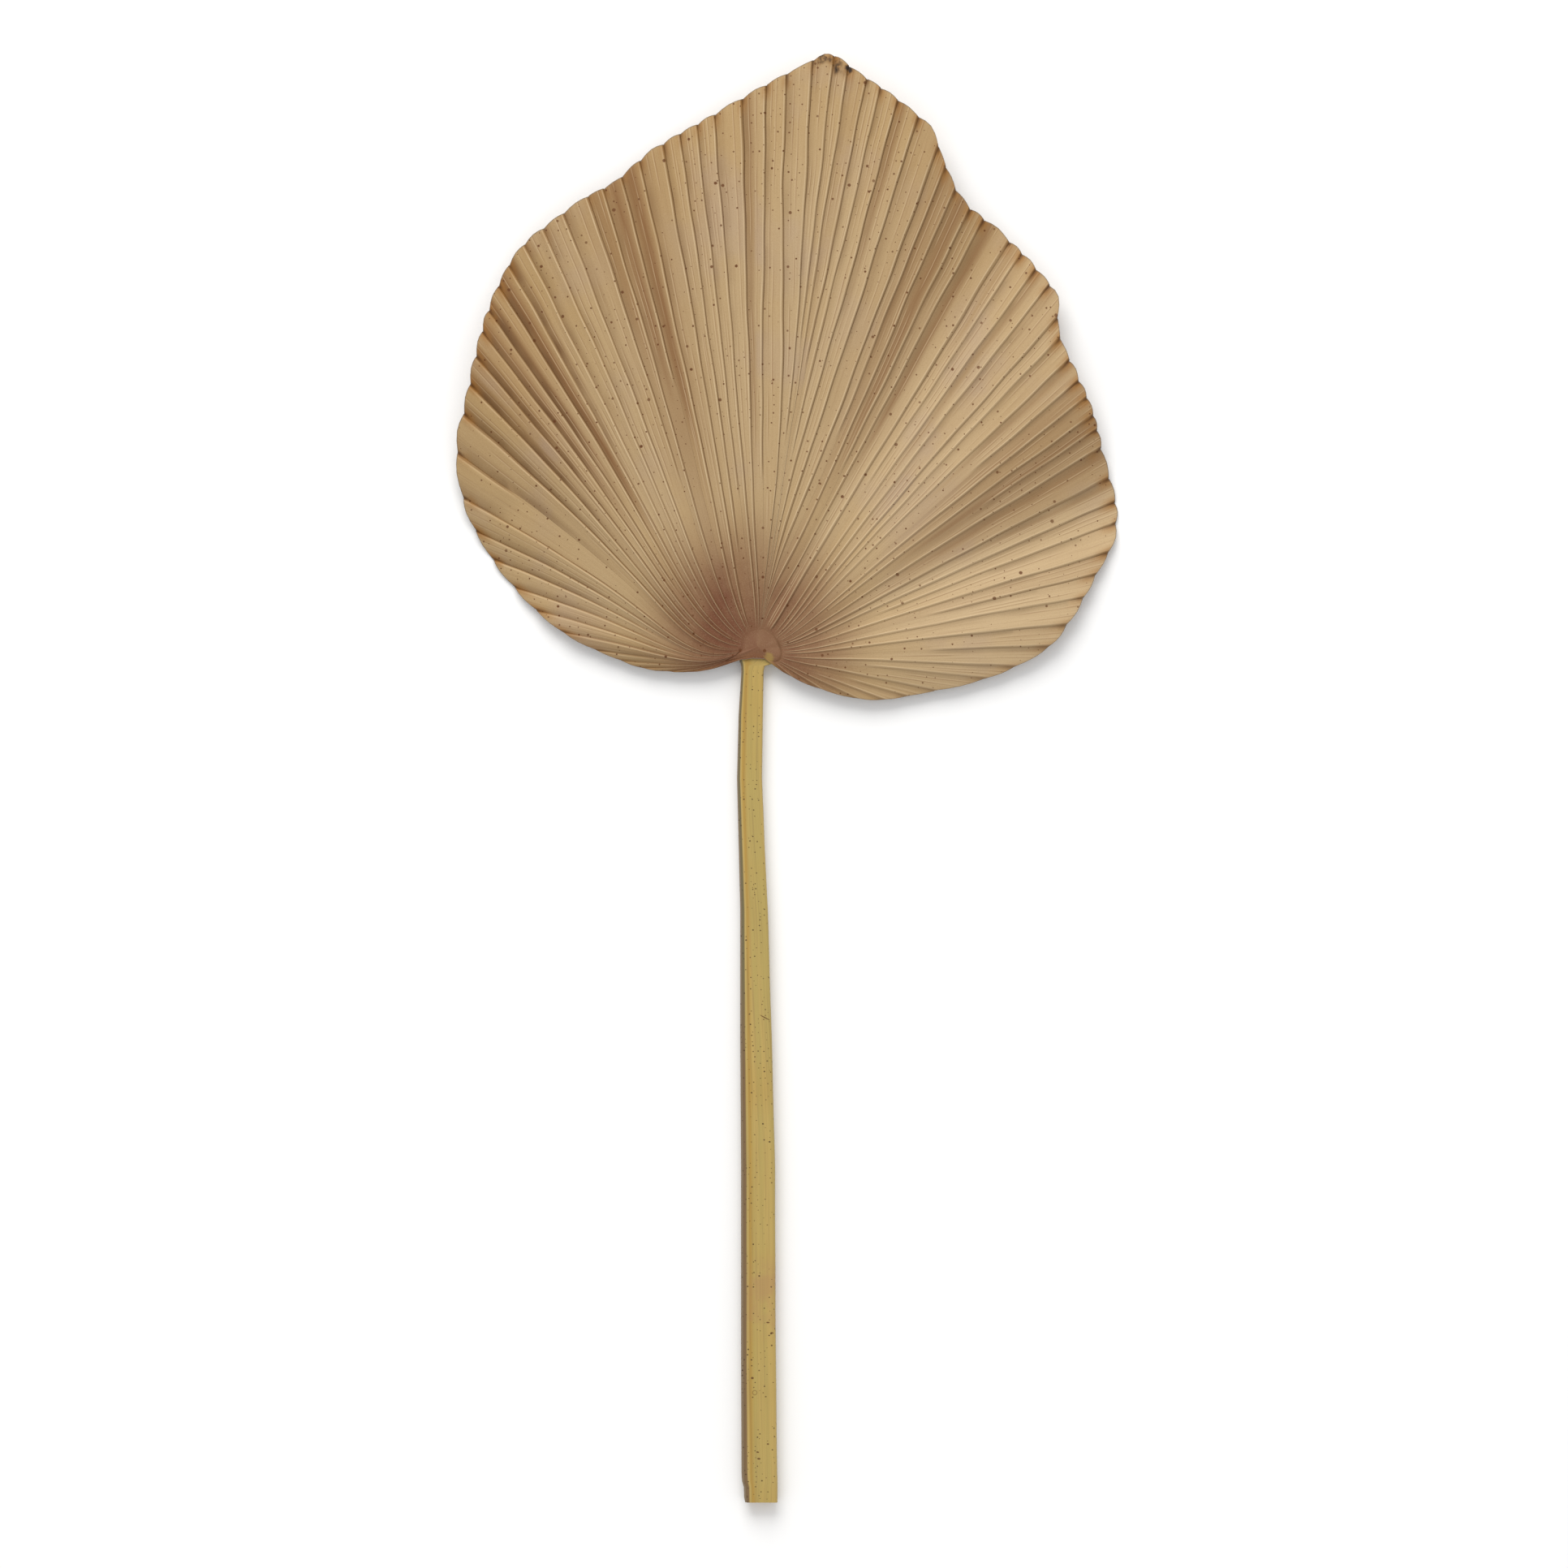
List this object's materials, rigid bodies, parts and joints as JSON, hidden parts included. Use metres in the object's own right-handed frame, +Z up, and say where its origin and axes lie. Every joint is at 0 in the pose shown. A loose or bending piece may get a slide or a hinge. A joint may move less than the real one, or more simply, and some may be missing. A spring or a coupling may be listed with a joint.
{
  "type": "dried fan palm leaf",
  "caption": "Dried, trimmed fan palm leaf with a pleated heart-shaped blade on a cut stalk, lying face up.",
  "frame": {"origin": "on the surface that the leaf lies on, under the middle of its bounding box", "axes": "+Z up, out of the leaf's face; +Y from the stalk's cut end towards the blade's tip; +X to the right of the face"},
  "size_m": [0.4577, 1.0001, 0.0304],
  "materials": {
    "dry_leaf": "dry tan leaf with fine fibres along its pleats, brown near the hub, satin",
    "dry_stalk": "dry khaki stalk with a grey-brown flank and small dark specks, satin"
  },
  "bodies": {
    "root": {"leaf_blade": "dry_leaf", "petiole": "dry_stalk"}
  },
  "joints": []
}
